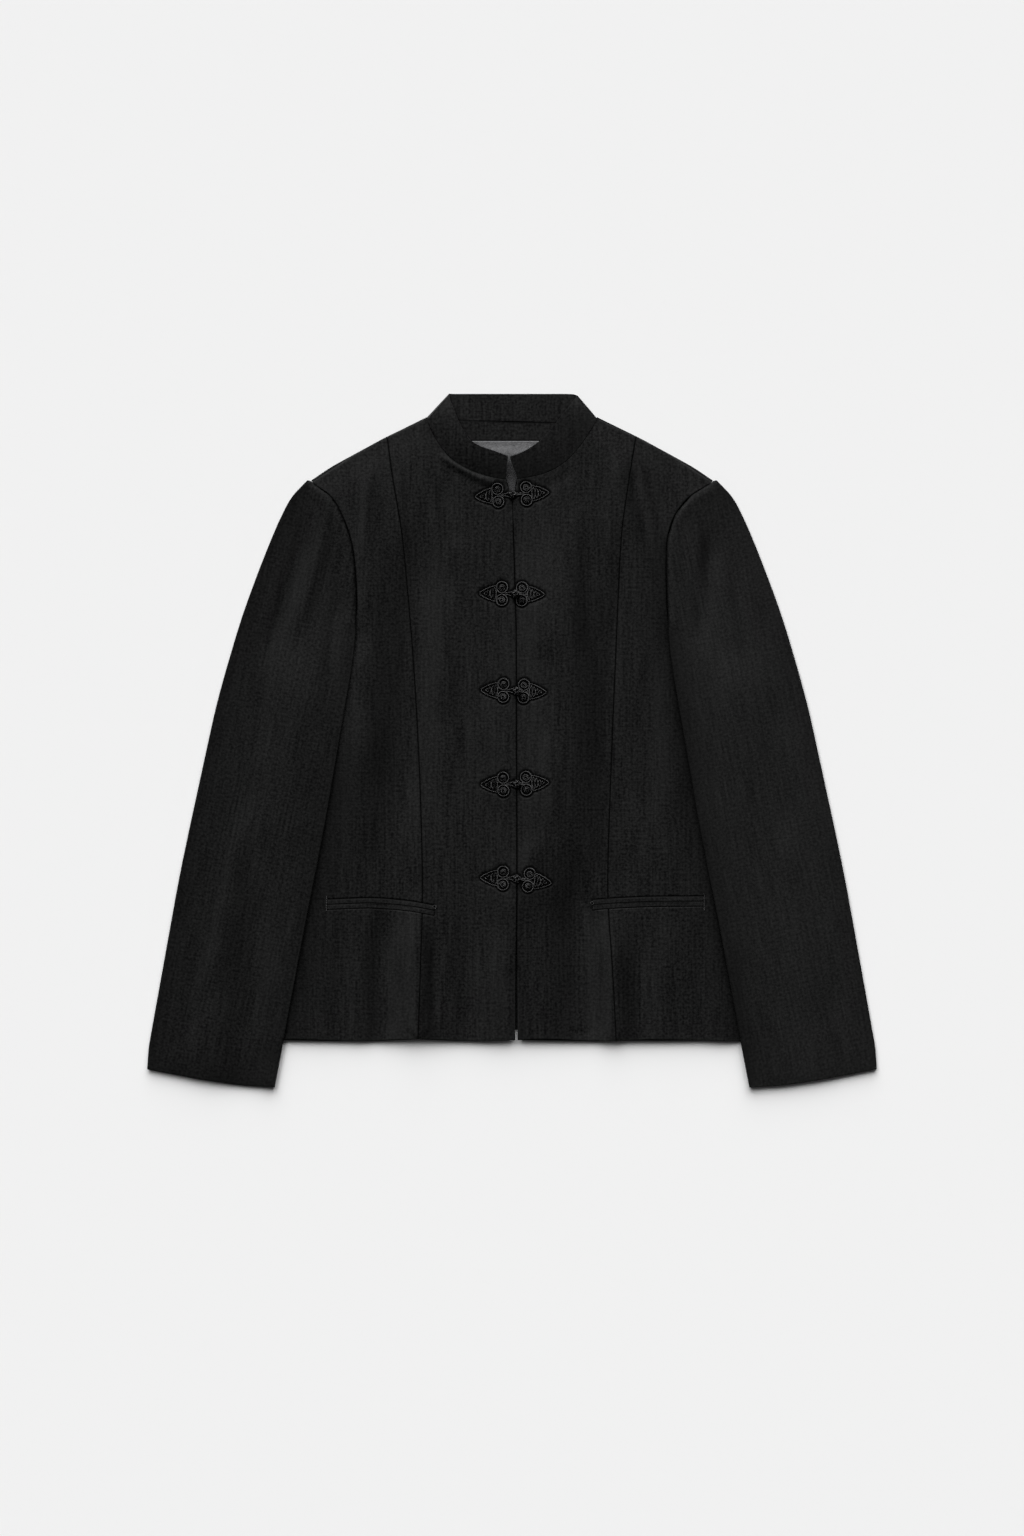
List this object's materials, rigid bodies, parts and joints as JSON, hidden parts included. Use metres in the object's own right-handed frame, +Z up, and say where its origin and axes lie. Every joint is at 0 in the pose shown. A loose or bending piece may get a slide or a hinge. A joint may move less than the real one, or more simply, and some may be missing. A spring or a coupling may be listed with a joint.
{
  "type": "mandarin collar jacket, laid flat",
  "caption": "Black stand-collar jacket laid flat, with princess seams, two-piece sleeves, jetted pockets and knotted cord frog fastenings.",
  "frame": {"origin": "centre of the bounding box, on the surface that the jacket lies on", "axes": "+X towards the wearer's left, +Y from the hem up to the collar, +Z up off the surface, out of the jacket's front"},
  "size_m": [0.73, 0.6944, 0.0164],
  "materials": {
    "shell": "matt black woven cloth with a fine lengthwise grain",
    "cord": "black satin cord with a soft sheen",
    "lining": "grey lining with a soft sheen"
  },
  "bodies": {
    "root": {"back": "shell", "collar": "shell", "frog_1_knot_button": "cord", "frog_1_knot_half": "cord", "frog_1_loop_half": "cord", "frog_2_knot_button": "cord", "frog_2_knot_half": "cord", "frog_2_loop_half": "cord", "frog_3_knot_button": "cord", "frog_3_knot_half": "cord", "frog_3_loop_half": "cord", "frog_4_knot_button": "cord", "frog_4_knot_half": "cord", "frog_4_loop_half": "cord", "frog_5_knot_button": "cord", "frog_5_knot_half": "cord", "frog_5_loop_half": "cord", "front_centre_left": "shell", "front_centre_right": "shell", "front_side_left": "shell", "front_side_right": "shell", "neck_facing": "shell", "neck_lining": "lining", "pocket_left_lower_jet": "shell", "pocket_left_upper_jet": "shell", "pocket_right_lower_jet": "shell", "pocket_right_upper_jet": "shell", "sleeve_top_left": "shell", "sleeve_top_right": "shell", "sleeve_under_left": "shell", "sleeve_under_right": "shell"}
  },
  "joints": []
}
